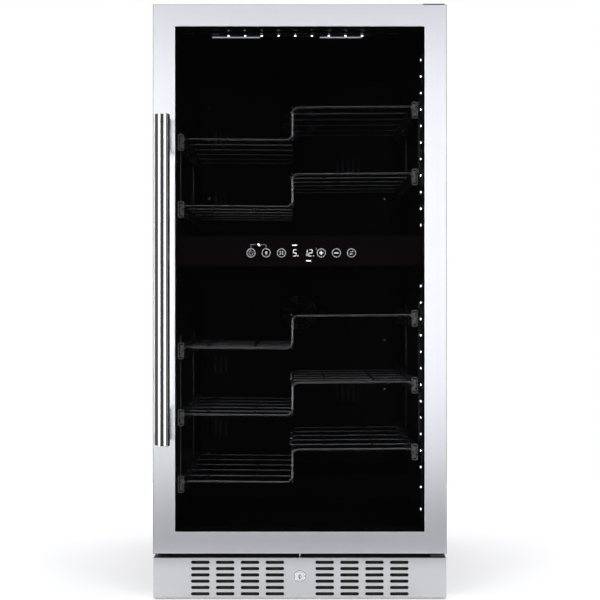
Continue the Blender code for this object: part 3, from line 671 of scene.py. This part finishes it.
LX, LY, LZ = 0.0, ky0, 47.0
bm = bmesh.new()
put_lathe(bm, [(9.35, -22), (10.0, -22), (10.0, 0.1), (11.0, 0.1), (11.0, 0.7), (10.6, 1.1), (10.1, 1.3), (9.6, 1.1), (9.35, 0.7)], (LX, LY, LZ), "-Y", 64)
finish_mesh("lock_bezel", bm, BRIGHT, "cabinet", "lock_housing", smooth=40)
bm = bmesh.new()
put_lathe(bm, [(0, -21.5), (8.85, -21.5), (8.85, 0.7), (8.4, 1.15), (3.1, 1.35), (2.7, 0.9), (0, 0.9)], (LX, LY, LZ), "-Y", 64)
plug = finish_mesh("lock_plug", bm, PLUG, "lock_cylinder", "lock_cylinder", smooth=30)
bm = bmesh.new()
put_prism_y(bm, [(px, LZ + pz) for px, pz in ((-1.7, -5.8), (1.7, -5.8), (1.7, -4.4), (0.8, -4.4), (0.8, 3.0), (-0.8, 3.0), (-0.8, -4.4), (-1.7, -4.4))], (LY - 4, LY + 6))
carve(plug, bm)
# Dark warding behind the keyway, and a dark ring pressed round it: painted shade in the keyway and round the plug's
# central recess.
bm = bmesh.new()
put_prism_y(bm, [(px, LZ + pz) for px, pz in ((-1.6, -5.7), (1.6, -5.7), (1.6, -4.5), (0.7, -4.5), (0.7, 2.9), (-0.7, 2.9), (-0.7, -4.5), (-1.6, -4.5))], (LY - 1.0, LY + 5.5))
put_lathe(bm, [(2.9, 1.0), (3.7, 1.0), (3.7, 1.38), (2.9, 1.38)], (LX, LY, LZ), "-Y", 48)
finish_mesh("lock_keyway_shade", bm, LED_HOUSING, "lock_cylinder", (), smooth=30)
# Thin black ring round the bezel's rim: painted shadow in the gap between bezel and plinth.
bm = bmesh.new()
put_lathe(bm, [(10.9, -0.3), (11.75, -0.3), (11.75, 0.25), (10.9, 0.25)], (LX, LY, LZ), "-Y", 64)
finish_mesh("lock_shadow_gap_ring", bm, RUBBER, "cabinet", (), smooth=40)
(bx0, bx1), (by0, by1), (bz0, bz1) = span("lock_bolt")
bm = bmesh.new()
put_box(bm, (bx0, bx1), (by0, by1), (bz0, 74.0))
finish_mesh("lock_bolt_slide", bm, ZINC, "lock_bolt", "lock_bolt", bevel=0.4)
bm = bmesh.new()
put_lathe(bm, [(0, 73.9), (2.25, 73.9), (2.25, bz1 - 1.0), (1.9, bz1 - 0.4), (1.3, bz1), (0, bz1)], ((bx0 + bx1) / 2, (by0 + by1) / 2, 0), "Z", 32)
finish_mesh("lock_bolt_pin", bm, BRIGHT, "lock_bolt", "lock_bolt", smooth=40)

# =====================================================================================================================
# Cabinet shell
# =====================================================================================================================
for name in ("left_side_panel", "right_side_panel", "top_panel"):
    dress(name, SHELL, 0.5)
dress("top_hinge", HINGE, 0.5)
dress("bottom_hinge", HINGE, 0.5)
dress("base_pan", ZINC, 0.4)
dress("rear_grille", ZINC, 0.3)
dress("back_panel", ZINC, 0.3)
dress("insulation_foam", FOAM, 0)
dress("liner_upper", LINER, 0.9, 3)
dress("liner_lower", LINER, 0.9, 3)
dress("divider_beam", LINER, 0.8)
dress("duct_cover_upper", DUCT, 0.7)
dress("duct_cover_lower", DUCT, 0.7)
dress("control_board", PCB, 0)
dress("control_glass", PANEL_PAINTED_GLOW, 0.4)
for zone in ("upper", "lower"):
    dress("fan_housing_" + zone, ABS, 0.5)
    dress("evaporator_" + zone, FIN, 0.4)
    dress("evaporator_fan_" + zone, GREY, 0.3)
dress("condenser_fan", GREY, 0.3)
dress("fan_shroud", ABS, 0.5)
dress("condenser", FIN, 0.2)
dress("compressor", COMPRESSOR, 0.6, 2, 40)
dress("drain_tray", ABS, 0.6)
dress("power_board", GREY, 0.6)
dress("power_inlet", ABS, 0.4)
dress("refrigerant_pipe", COPPER, 0)
for corner_name in ("front_left", "front_right", "rear_left", "rear_right"):
    dress("levelling_foot_" + corner_name, ABS, 0.4)

# =====================================================================================================================
# LED bars
# =====================================================================================================================
for name in ("led_bar_top", "led_bar_right_upper", "led_bar_right_lower"):
    dress(name, LED_HOUSING, 0.5)


def put_dome(bm, centre, size):
    made = bmesh.ops.create_uvsphere(bm, u_segments=16, v_segments=8, radius=1.0)["verts"]
    bmesh.ops.transform(bm, matrix=Matrix.Translation(centre) @ Matrix.Diagonal((*size, 1)), verts=made)


(tx0, tx1), (ty0, ty1), (tz0, tz1) = span("led_bar_top")
bm = bmesh.new()
for i in range(9):
    put_dome(bm, (-9.4 + 34.8 * (i - 4), ty0 + 1.5, tz0 + 0.4), (2.7, 1.8, 1.4))
finish_mesh("led_chips_top", bm, LED, "cabinet", ())
bm = bmesh.new()
for x0, x1 in ((-183, -83), (42, 129)):
    put_box(bm, (x0, x1), (ty1 + 2, ty1 + 5), (tz0 - 1.4, tz0 + 1.2))
finish_mesh("led_diffusers_top", bm, LED_BAR, "cabinet", (), bevel=0.5)
# Thin metal trim along the ceiling's front edge, folded down at both ends.
bm = bmesh.new()
put_box(bm, (-256, 256), (ty0 - 5.5, ty0 - 4.3), (tz1 - 1.1, tz1 + 0.1))
for x in (-252, 247):
    put_box(bm, (x, x + 1.2), (ty0 - 5.5, ty0 - 4.5), (tz1 - 16, tz1 - 1))
    put_box(bm, (x - (6 if x > 0 else -1), x + (1 if x > 0 else 8)), (ty0 - 5.5, ty0 - 4.5), (tz1 - 1.6, tz1 - 0.8))
finish_mesh("ceiling_trim", bm, RAIL_ZINC, "cabinet", ())
(rx0, rx1), (ry0, ry1), _ = span("led_bar_right_upper")
bm = bmesh.new()
for z in [1106.7 - 34.44 * i for i in range(11)] + [635.5 - 34.3 * i for i in range(12)] + [216.4, 170.5]:
    put_dome(bm, (rx0 - 0.9, (ry0 + ry1) / 2, z), (0.9, 2.0, 2.3))
finish_mesh("led_chips_right", bm, LED, "cabinet", ())

# =====================================================================================================================
# Control symbols on the divider's glass
# =====================================================================================================================
(px0, px1), (py0, py1), (pz0, pz1) = span("control_glass")
FACE = py0 - 0.05
MID_Z = 704.3


def ring(bm, x, z, radius, width, depth=0.12, segments=48):
    put_lathe(bm, [(radius - width, 0), (radius, 0), (radius, depth), (radius - width, depth)], (x, FACE, z), "-Y", segments)


def dash(bm, x, z, length, width, angle=0.0, depth=0.12):
    made = put_box(bm, (-length / 2, length / 2), (-depth, 0), (-width / 2, width / 2))
    bmesh.ops.transform(bm, matrix=Matrix.Translation((x, FACE, z)) @ Matrix.Rotation(math.radians(-angle), 4, "Y"), verts=made)
    return made


def disc(bm, x, z, radius, depth=0.12):
    put_cylinder(bm, (x, FACE - depth / 2, z), radius, depth, "Y", 32)


bm = bmesh.new()
for x in (-101.5, -70.0, -38.2, 44.7, 76.2, 107.5):
    ring(bm, x, MID_Z, 9.1, 1.05)
# power: open ring and stroke
for i in range(13):
    a = math.radians(60 + 300 * (i - 0.0) / 12 + 30)
    dash(bm, -101.5 + 4.3 * math.cos(a), MID_Z + 4.3 * math.sin(a), 2.3, 0.6, math.degrees(a) + 90)
dash(bm, -101.5, MID_Z + 3.0, 4.2, 0.7, 90)
# light: round lamp
disc(bm, -70.0, MID_Z + 0.6, 2.3)
dash(bm, -70.0, MID_Z - 3.6, 3.4, 1.1)
# four blades
for a in (45, 135, 225, 315):
    dash(bm, -38.2 + 3.3 * math.cos(math.radians(a)), MID_Z + 3.3 * math.sin(math.radians(a)), 3.0, 2.0, a)
# plus and minus
dash(bm, 44.7, MID_Z, 8.6, 2.6)
dash(bm, 44.7, MID_Z, 8.6, 2.6, 90)
dash(bm, 76.2, MID_Z, 9.0, 2.6)
# swap
for s in (1, -1):
    dash(bm, 107.5, MID_Z + 2.2 * s, 6.2, 1.0)
    dash(bm, 107.5 + 2.4 * s, MID_Z + 3.3 * s, 2.8, 0.9, -40)
finish_mesh("control_symbols", bm, SYMBOL, "cabinet", ())

SEGMENTS = {"1": "bc", "2": "abged", "5": "afgcd"}


def digit(bm, char, x, z, height=13.0, width=6.4, slant=0.09):
    t, hw, hh = 1.25, width / 2, height / 2
    spots = {"a": (0, hh, 0), "g": (0, 0, 0), "d": (0, -hh, 0), "b": (hw, hh / 2, 90), "c": (hw, -hh / 2, 90), "f": (-hw, hh / 2, 90), "e": (-hw, -hh / 2, 90)}
    for key in SEGMENTS[char]:
        dx, dz, angle = spots[key]
        length = (width if angle == 0 else hh) - 0.6
        for v in dash(bm, dx, dz, length, t, angle):
            v.co = Vector((x + v.co.x + slant * v.co.z, v.co.y, z + v.co.z))


bm = bmesh.new()
digit(bm, "5", -10.4, MID_Z)
disc(bm, -3.9, MID_Z - 6.2, 1.1)
digit(bm, "1", 12.0, MID_Z)
digit(bm, "2", 22.2, MID_Z)
disc(bm, 28.6, MID_Z - 6.2, 0.9)
finish_mesh("control_digits", bm, DIGIT, "cabinet", ())
bm = bmesh.new()
dash(bm, -10.6, 720.3, 9.6, 2.4)
dash(bm, 18.2, 687.9, 9.6, 2.4)
dash(bm, -86.6, 722.4, 3.4, 2.6, 45)
disc(bm, -84.3, 720.3, 2.0)
finish_mesh("control_indicators", bm, MARK, "cabinet", (), bevel=0.0)
bm = bmesh.new()
dash(bm, -101.5, 717.6, 8.0, 1.0, 90)
dash(bm, -70.0, 717.6, 8.0, 1.0, 90)
dash(bm, -97.6, 721.4, 11.0, 1.0)
dash(bm, -76.2, 721.4, 11.0, 1.0)
dash(bm, 34.6, MID_Z + 7.4, 1.6, 1.6)
ring(bm, 34.0, MID_Z + 8.6, 1.5, 0.6)
finish_mesh("control_guides", bm, FAINT, "cabinet", ())

# =====================================================================================================================
# Shelves: round chromed wire, telescopic runners; rails on the walls
# =====================================================================================================================
RAIL_LEFT, RAIL_RIGHT, RAIL_DEPTH, RAIL_HEIGHT = -256.4, 248.0, 12.7, 35.0
LOW_Z = (226.0, 366.6, 507.2, 805.0, 945.4)
DROP = (8.0, 8.0, 8.0, 8.0, 8.0)
STEP = 68.5
Y0, Y1 = -177.0, 215.0
XM = -15.5


def outer_rail(bm, side, z):
    """C-section with returned lips, opening to the shelf."""
    if side < 0:
        a, s = RAIL_LEFT, 1
    else:
        a, s = RAIL_RIGHT, -1
    b = a + s * RAIL_DEPTH
    h = RAIL_HEIGHT / 2
    t = 1.4
    pts = [(a, -h + 2), (a + s * 0.6, -h + 0.6), (a + s * 2, -h), (b - s * 1.5, -h), (b - s * 0.4, -h + 0.5), (b, -h + 1.6), (b, -h + 5.6), (b - s * t, -h + 5.6),
           (b - s * t, -h + 2.2), (b - s * 2.0, -h + t), (a + s * 2.2, -h + t), (a + s * t, -h + 2.4), (a + s * t, h - 2.4), (a + s * 2.2, h - t),
           (b - s * 2.0, h - t), (b - s * t, h - 2.2), (b - s * t, h - 5.6), (b, h - 5.6), (b, h - 1.6), (b - s * 0.4, h - 0.5), (b - s * 1.5, h), (a + s * 2, h), (a + s * 0.6, h - 0.6), (a, h - 2)]
    put_prism_y(bm, [(x, z + dz) for x, dz in pts], (-172.0, 205.0))


def inner_rail(bm, side, z):
    """The moving member: a channel on ball tracks with a broad head inside the outer rail."""
    if side < 0:
        a, s = RAIL_LEFT, 1
    else:
        a, s = RAIL_RIGHT, -1
    pts = [(a + s * 3.2, -11.4), (a + s * 4.2, -12.4), (a + s * 9.6, -12.4), (a + s * 10.6, -11.4), (a + s * 10.6, -9.2), (a + s * 16.5, -9.2), (a + s * 16.5, -7.9),
           (a + s * 9.0, -7.9), (a + s * 9.0, -10.9), (a + s * 4.7, -10.9), (a + s * 4.7, 10.9), (a + s * 9.0, 10.9), (a + s * 9.0, 7.9), (a + s * 16.5, 7.9), (a + s * 16.5, 9.2),
           (a + s * 10.6, 9.2), (a + s * 10.6, 11.4), (a + s * 9.6, 12.4), (a + s * 4.2, 12.4), (a + s * 3.2, 11.4)]
    put_prism_y(bm, [(x, z + dz) for x, dz in pts], (-171.0, 202.0))


def put_ring_y(bm, outer, inner, y):
    """A flat frame in XZ between two outlines with the same number of points."""
    rings = [[bm.verts.new((px, yy, pz)) for px, pz in o] for o, yy in ((outer, y[0]), (inner, y[0]), (inner, y[1]), (outer, y[1]))]
    n = len(outer)
    for a, b in zip(rings, rings[1:] + rings[:1]):
        for i in range(n):
            bm.faces.new((a[i], a[(i + 1) % n], b[(i + 1) % n], b[i]))


def rail_front(bm, side, z):
    """Rolled front lip of the outer rail."""
    x0, x1 = (RAIL_LEFT, RAIL_LEFT + RAIL_DEPTH) if side < 0 else (RAIL_RIGHT - RAIL_DEPTH, RAIL_RIGHT)
    h = RAIL_HEIGHT / 2
    if side < 0:
        x = (x0 + 0.1, x0 + 2.9)
    else:
        x = (x1 - 2.9, x1 - 0.1)
    put_ring_y(bm, rounded((x0 + 0.1, x1 - 0.1), (z - h + 0.1, z + h - 0.1), 3.2), rounded((x0 + 2.1, x1 - 2.1), (z - h + 2.3, z + h - 2.3), 1.4), (-172.4, -170.6))


def runner_front(bm, side, z):
    """Stamped bracket at the front of a runner: a waisted plate with a nose that carries the shelf's side wire."""
    if side < 0:
        x0, s = RAIL_LEFT + 3.4, 1
    else:
        x0, s = RAIL_RIGHT - 3.4, -1
    pts = [(0.0, -11.6), (0.9, -12.5), (6.0, -12.5), (6.9, -11.6), (6.9, -4.5), (5.4, -3.0), (5.4, 1.5), (7.4, 3.0), (12.6, 4.6), (12.6, 7.4), (8.2, 7.4), (6.9, 8.6), (6.9, 11.6), (6.0, 12.5),
           (0.9, 12.5), (0.0, 11.6), (0.0, 8.2), (1.3, 7.0), (1.3, 4.0), (0.0, 2.8), (0.0, -2.8), (1.3, -4.0), (1.3, -7.0), (0.0, -8.2)]
    put_prism_y(bm, [(x0 + s * px, z + pz) for px, pz in pts], (-172.9, -171.3))
    for dz in (-8.5, 9.8):
        put_cylinder(bm, (x0 + s * 3.4, -172.6, z + dz), 1.3, 0.7, "Y", 12)


for zone, indices in (("lower", (0, 1, 2)), ("upper", (3, 4))):
    for side, word, extra in ((-1, "left", 0.0), (1, "right", STEP)):
        node = "%s_rails_%s" % (word, zone)
        bm = bmesh.new()
        for i in indices:
            outer_rail(bm, side, LOW_Z[i] - DROP[i] + extra)
        finish_mesh("%s_rail_channels_%s" % (word, zone), bm, RAIL_ZINC, "cabinet", node, smooth=35)
        bm = bmesh.new()
        for i in indices:
            rail_front(bm, side, LOW_Z[i] - DROP[i] + extra)
        # The rail lips take the lighter zinc copy: painted highlight.
        finish_mesh("%s_rail_lips_%s" % (word, zone), bm, RAIL_END_HIGHLIT, "cabinet", (), smooth=35)
        (ux0, ux1), _, (uz0, uz1) = span(node)
        bm = bmesh.new()
        for y in (-130.0, 150.0):
            if side < 0:
                put_box(bm, (ux0, ux0 + 1.5), (y, y + 22), (uz0 + 2, uz1))
            else:
                put_box(bm, (ux1 - 1.5, ux1), (y, y + 22), (uz0 + 2, uz1))
                for i in indices:
                    z = LOW_Z[i] - DROP[i] + extra
                    put_box(bm, (RAIL_RIGHT - 0.2, ux1 - 1.0), (y + 4, y + 18), (z - 8, z - 6.6))
                    put_box(bm, (RAIL_RIGHT - 0.2, ux1 - 1.0), (y + 4, y + 18), (z + 6.6, z + 8))
                    put_box(bm, (RAIL_RIGHT + 0.1, RAIL_RIGHT + 1.6), (y + 2, y + 20), (z - 12, z + 12))
        finish_mesh("%s_rail_uprights_%s" % (word, zone), bm, ZINC, "cabinet", node, bevel=0.3)

ROWS = [Y0 + 2 + (Y1 - Y0 - 4 - 5.0) * i / 5 + 2.5 for i in range(6)]
POSTS = [Y0 + 22 + (Y1 - Y0 - 48) * i / 7 + 2 for i in range(8)]
for number, (z, drop) in enumerate(zip(LOW_Z, DROP), 1):
    low, high, body = z - 2.5, z + STEP - 2.5, "shelf_%d" % number
    left, right = RAIL_LEFT + 15.8, RAIL_RIGHT - 15.8
    bm = bmesh.new()
    for k, y in enumerate(ROWS):
        if k in (0, 5):
            path = [(left, y, low + 1.6), (XM - 8, y, low - 0.4), (XM, y, low + 9), (XM, y, high - 9), (XM + 8, y, high - 0.4), (right, y, high + 1.6)]
            put_tube(bm, fillet(path, 9.0), 2.5, 12)
        else:
            put_tube(bm, [(left, y, low + 1.0), (XM, y, low - 0.6)], 2.1, 10)
            put_tube(bm, [(XM, y, high - 0.6), (right, y, high + 1.0)], 2.1, 10)
    for x, zz in ((XM, low - 0.2), (XM, high - 0.2)):
        put_tube(bm, [(x, Y0 + 2.6, zz), (x, Y1 - 2.6, zz)], 2.4, 10)
    # cradle wires: shallow waves that hold each bottle
    for x, zz in ((-196, low), (-96, low), (52, high), (156, high)):
        wave = []
        for j in range(81):
            y = ROWS[0] + (ROWS[5] - ROWS[0]) * j / 80
            wave.append((x, y, zz + 3.0 - 2.6 * math.cos(TAU * (y - ROWS[0]) / (ROWS[1] - ROWS[0])) + 1.0))
        put_tube(bm, wave, 1.9, 8)
    # riser: one serpentine wire between the two halves
    path = [(XM, Y0 + 6, low + 1)]
    up = True
    for y in POSTS:
        a, b = (low + 1, high - 1) if up else (high - 1, low + 1)
        path += [(XM, y, a), (XM, y, b)]
        up = not up
    path.append((XM, Y1 - 6, path[-1][2]))
    put_tube(bm, fillet(path, 11.0, 7), 2.2, 10)
    # bottle-neck saddles on the riser's top rail
    for a, b in zip(POSTS[1::2], POSTS[2::2]):
        put_tube(bm, fillet([(XM + 1, a, high), (XM - 7, a + 2, high + 3), (XM - 9, (a + b) / 2, high + 3.5), (XM - 7, b - 2, high + 3), (XM + 1, b, high)], 6.0), 1.7, 8)
    finish_mesh("shelf_%d_wire" % number, bm, CHROME, body, body, smooth=60, flat=False)
    bm = bmesh.new()
    inner_rail(bm, -1, z - drop)
    inner_rail(bm, 1, z + STEP - drop)
    finish_mesh("shelf_%d_runners" % number, bm, RAIL_ZINC, body, body, smooth=35)
    bm = bmesh.new()
    runner_front(bm, -1, z - drop)
    runner_front(bm, 1, z + STEP - drop)
    # The runner brackets take the lighter zinc copy: painted highlight.
    finish_mesh("shelf_%d_brackets" % number, bm, RAIL_END_HIGHLIT, body, (), smooth=35, bevel=0.25, segments=1)

# =====================================================================================================================
# Duct cover details: screws, fan guards
# =====================================================================================================================
screws = [("duct_cover_upper", 209, 858), ("duct_cover_upper", -225, 858), ("duct_cover_lower", 209, 507), ("duct_cover_lower", 209, 385), ("duct_cover_lower", -225, 507), ("duct_cover_upper", 209, 1085), ("duct_cover_upper", -225, 1085), ("duct_cover_lower", -225, 225)]
bm = bmesh.new()
for node, x, z in screws:
    y = span(node)[1][0]
    put_lathe(bm, [(0, 0), (4.2, 0), (4.2, 0.5), (3.4, 1.5), (1.6, 2.0), (0, 2.0)], (x, y, z), "-Y", 24)
finish_mesh("duct_screws", bm, BRIGHT, "cabinet", (), smooth=35)
for zone, z in (("upper", 1055.0), ("lower", 575.0)):
    y = span("duct_cover_" + zone)[1][0]
    bm = bmesh.new()
    for r in (12, 20, 28, 36, 44, 47):
        put_tube(bm, [(r * math.cos(TAU * i / 48), y - 1.4, z + r * math.sin(TAU * i / 48)) for i in range(48)], 1.1 if r < 47 else 1.6, 6, closed=True)
    for a in range(0, 360, 45):
        c, s = math.cos(math.radians(a)), math.sin(math.radians(a))
        put_tube(bm, [(12 * c, y - 1.4, z + 12 * s), (47 * c, y - 1.4, z + 47 * s)], 1.2, 6)
    put_cylinder(bm, (0, y - 1.4, z), 12, 2.4, "Y", 32)
    finish_mesh("fan_guard_" + zone, bm, DUCT, "cabinet", (), smooth=50)

# =====================================================================================================================
# Camera, floor, light
# =====================================================================================================================
camera_data = bpy.data.cameras.new("camera")
camera = bpy.data.objects.new("camera", camera_data)
scene.collection.objects.link(camera)
camera.location = (0.0004, -2.4057, 0.6063)
camera.rotation_euler = (math.pi / 2, 0, 0)
camera_data.sensor_width = 36.0
camera_data.lens = 36.0 * 2.15 / 1.215
scene.camera = camera
scene.view_settings.view_transform = "Standard"

floor_bm = bmesh.new()
outline = [(-1600, -570), (1600, -570), (1600, 1100), (-1600, 1100)]
floor_bm.faces.new([floor_bm.verts.new((x, y, 0.0)) for x, y in outline])
floor_mat = Mat("pale_floor", (0.93, 0.93, 0.935), 0.7, 0.0, **{"Emission Color": (1, 1, 1, 1), "Emission Strength": 0.27, "Specular IOR Level": 0.1})
floor_mat.color(floor_mat.ramp(floor_mat.noise([3.0] * 3, 2), [(0.3, (0.92, 0.92, 0.925)), (0.7, (0.94, 0.94, 0.945))]))
floor_obj = finish_mesh("floor", floor_bm, floor_mat.mat, None, smooth=0)

world = bpy.data.worlds.new("studio")
scene.world = world
world.use_nodes = True
tree = world.node_tree
tree.nodes.clear()


def wnode(kind, **values):
    made = tree.nodes.new(kind)
    for key, value in values.items():
        setattr(made, key, value)
    return made


def wmath(operation, a, b=None):
    made = wnode("ShaderNodeMath", operation=operation)
    for k, value in enumerate((a, b)):
        if value is None:
            continue
        if isinstance(value, (int, float)):
            made.inputs[k].default_value = value
        else:
            tree.links.new(value, made.inputs[k])
    return made.outputs[0]


def wramp(value, stops, top=8.0, interpolation="LINEAR"):
    made = wnode("ShaderNodeValToRGB")
    made.color_ramp.interpolation = interpolation
    while len(made.color_ramp.elements) < len(stops):
        made.color_ramp.elements.new(0.5)
    for element, (at, level) in zip(made.color_ramp.elements, stops):
        element.position = at
        element.color = (level / top, level / top, level / top, 1)
    tree.links.new(value, made.inputs["Fac"])
    grey = wnode("ShaderNodeRGBToBW")
    tree.links.new(made.outputs["Color"], grey.inputs["Color"])
    return wmath("MULTIPLY", grey.outputs["Val"], top)


coords = wnode("ShaderNodeTexCoord")
split = wnode("ShaderNodeSeparateXYZ")
tree.links.new(coords.outputs["Generated"], split.inputs[0])
dx, dy, dz = split.outputs
# azimuth from the viewer's side: 0.5 behind the camera, falling to 0 on the left and rising to 1 on the right
azimuth = wmath("ADD", wmath("DIVIDE", wmath("ARCTAN2", dx, wmath("MULTIPLY", dy, -1.0)), TAU), 0.5)
elevation = wmath("ADD", wmath("DIVIDE", wmath("ARCSINE", dz), math.pi), 0.5)


def az(degrees):
    return 0.5 + degrees / 360


def el(degrees):
    return 0.5 + degrees / 180


SOFTBOX = 8.6
across = wramp(azimuth, [
    (0.0, 0.34), (az(-150), 0.28), (az(-125), 0.09), (az(-98), 0.08), (az(-85), 0.13), (az(-75), 0.2), (az(-63), 0.34), (az(-56), 0.5), (az(-50), 0.9), (az(-45), SOFTBOX),
    (az(-36), SOFTBOX), (az(-31), 0.4), (az(-24), 0.15), (az(-8), 0.06), (az(12), 0.07), (az(24), 0.12), (az(33), 0.25), (az(38), SOFTBOX), (az(46), SOFTBOX),
    (az(51), 0.6), (az(60), 0.34), (az(75), 0.28), (az(94), 0.2), (az(108), 0.09), (az(125), 0.09), (az(150), 0.28), (1.0, 0.34),
], 12.0)
band = wramp(elevation, [
    (0.0, 0.05), (el(-30), 0.05), (el(-16), 0.05), (el(-13.2), 0.09), (el(-11), 0.38), (el(-9), 0.69), (el(-7), 0.9), (el(-5), 0.98), (el(-3), 1.0), (el(8), 1.0), (el(10.5), 0.99),
    (el(12.5), 0.91), (el(14.5), 0.76), (el(17), 0.56), (el(22), 0.36), (el(30), 0.15), (el(42), 0.0), (1.0, 0.0),
], 1.25)
overhead = wramp(elevation, [(0.0, 0.0), (el(22), 0.0), (el(34), 0.75), (el(50), 1.25), (1.0, 1.35)], 2.0)
level = wmath("ADD", wmath("MULTIPLY", across, band), overhead)
studio = wnode("ShaderNodeBackground")
tree.links.new(level, studio.inputs["Strength"])
studio.inputs["Color"].default_value = (0.985, 0.985, 1.0, 1)
white = wnode("ShaderNodeBackground")
white.inputs["Color"].default_value = (1, 1, 1, 1)
white.inputs["Strength"].default_value = 1.0
path = wnode("ShaderNodeLightPath")
mix = wnode("ShaderNodeMixShader")
tree.links.new(path.outputs["Is Camera Ray"], mix.inputs["Fac"])
tree.links.new(studio.outputs[0], mix.inputs[1])
tree.links.new(white.outputs[0], mix.inputs[2])
out = wnode("ShaderNodeOutputWorld")
tree.links.new(mix.outputs[0], out.inputs["Surface"])
